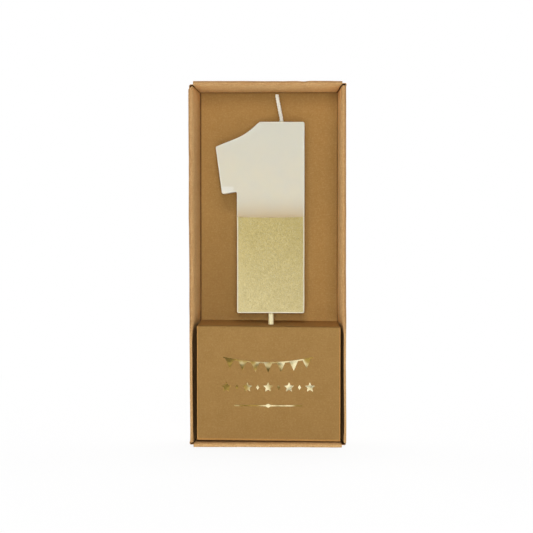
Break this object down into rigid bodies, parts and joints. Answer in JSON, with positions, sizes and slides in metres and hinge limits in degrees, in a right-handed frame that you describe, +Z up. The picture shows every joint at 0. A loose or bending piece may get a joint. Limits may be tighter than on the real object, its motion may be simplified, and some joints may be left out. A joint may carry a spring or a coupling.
{
  "type": "number candle",
  "caption": "Numeral birthday candle with a metallic-dipped lower half, standing by its pick in the folded insert of an open kraft carton.",
  "frame": {"origin": "on the surface that the carton stands on, under the middle of the carton", "axes": "+Z up along the candle, -Y out of the carton's open front, +X to the right of someone facing the open front, who looks along +Y"},
  "size_m": [0.0644, 0.02, 0.1503],
  "materials": {
    "tray_board": "matte",
    "insert_card": "matte",
    "foil": "polished",
    "wax": "satin",
    "metallic_dip": "satin",
    "wick": "matte",
    "pick": "gloss"
  },
  "bodies": {
    "tray": {"tray_back_panel": "tray_board", "tray_wall_left": "tray_board", "tray_wall_right": "tray_board", "tray_wall_top": "tray_board", "tray_wall_bottom": "tray_board", "tray_corner_flap_bottom_left": "tray_board", "tray_corner_flap_top_left": "tray_board", "tray_corner_flap_top_right": "tray_board", "tray_corner_flap_bottom_right": "tray_board"},
    "insert": {"insert_back_panel": "insert_card", "insert_foot_panel": "insert_card", "insert_front_panel": "insert_card", "insert_shelf_panel": "insert_card", "insert_glue_flap": "insert_card", "foil_garland": "foil", "foil_star_1": "foil", "foil_star_2": "foil", "foil_star_3": "foil", "foil_star_4": "foil", "foil_star_5": "foil", "foil_diamond_1": "foil", "foil_diamond_2": "foil", "foil_diamond_3": "foil", "foil_diamond_4": "foil", "foil_rule": "foil"},
    "candle": {"candle_wax_body": "wax", "candle_metallic_dip": "metallic_dip", "candle_wick": "wick", "candle_pick": "pick"}
  },
  "joints": [
    {"name": "insert_slide", "type": "slide", "parent": "tray", "child": "insert", "axis": [0, -1, 0], "range_m": [0, 0.03]},
    {"name": "candle_tilt", "type": "hinge", "parent": "insert", "child": "candle", "pos_m": [0.0012, -0.0015, 0.05012], "axis": [1, 0, 0], "range_deg": [0, 30]}
  ]
}
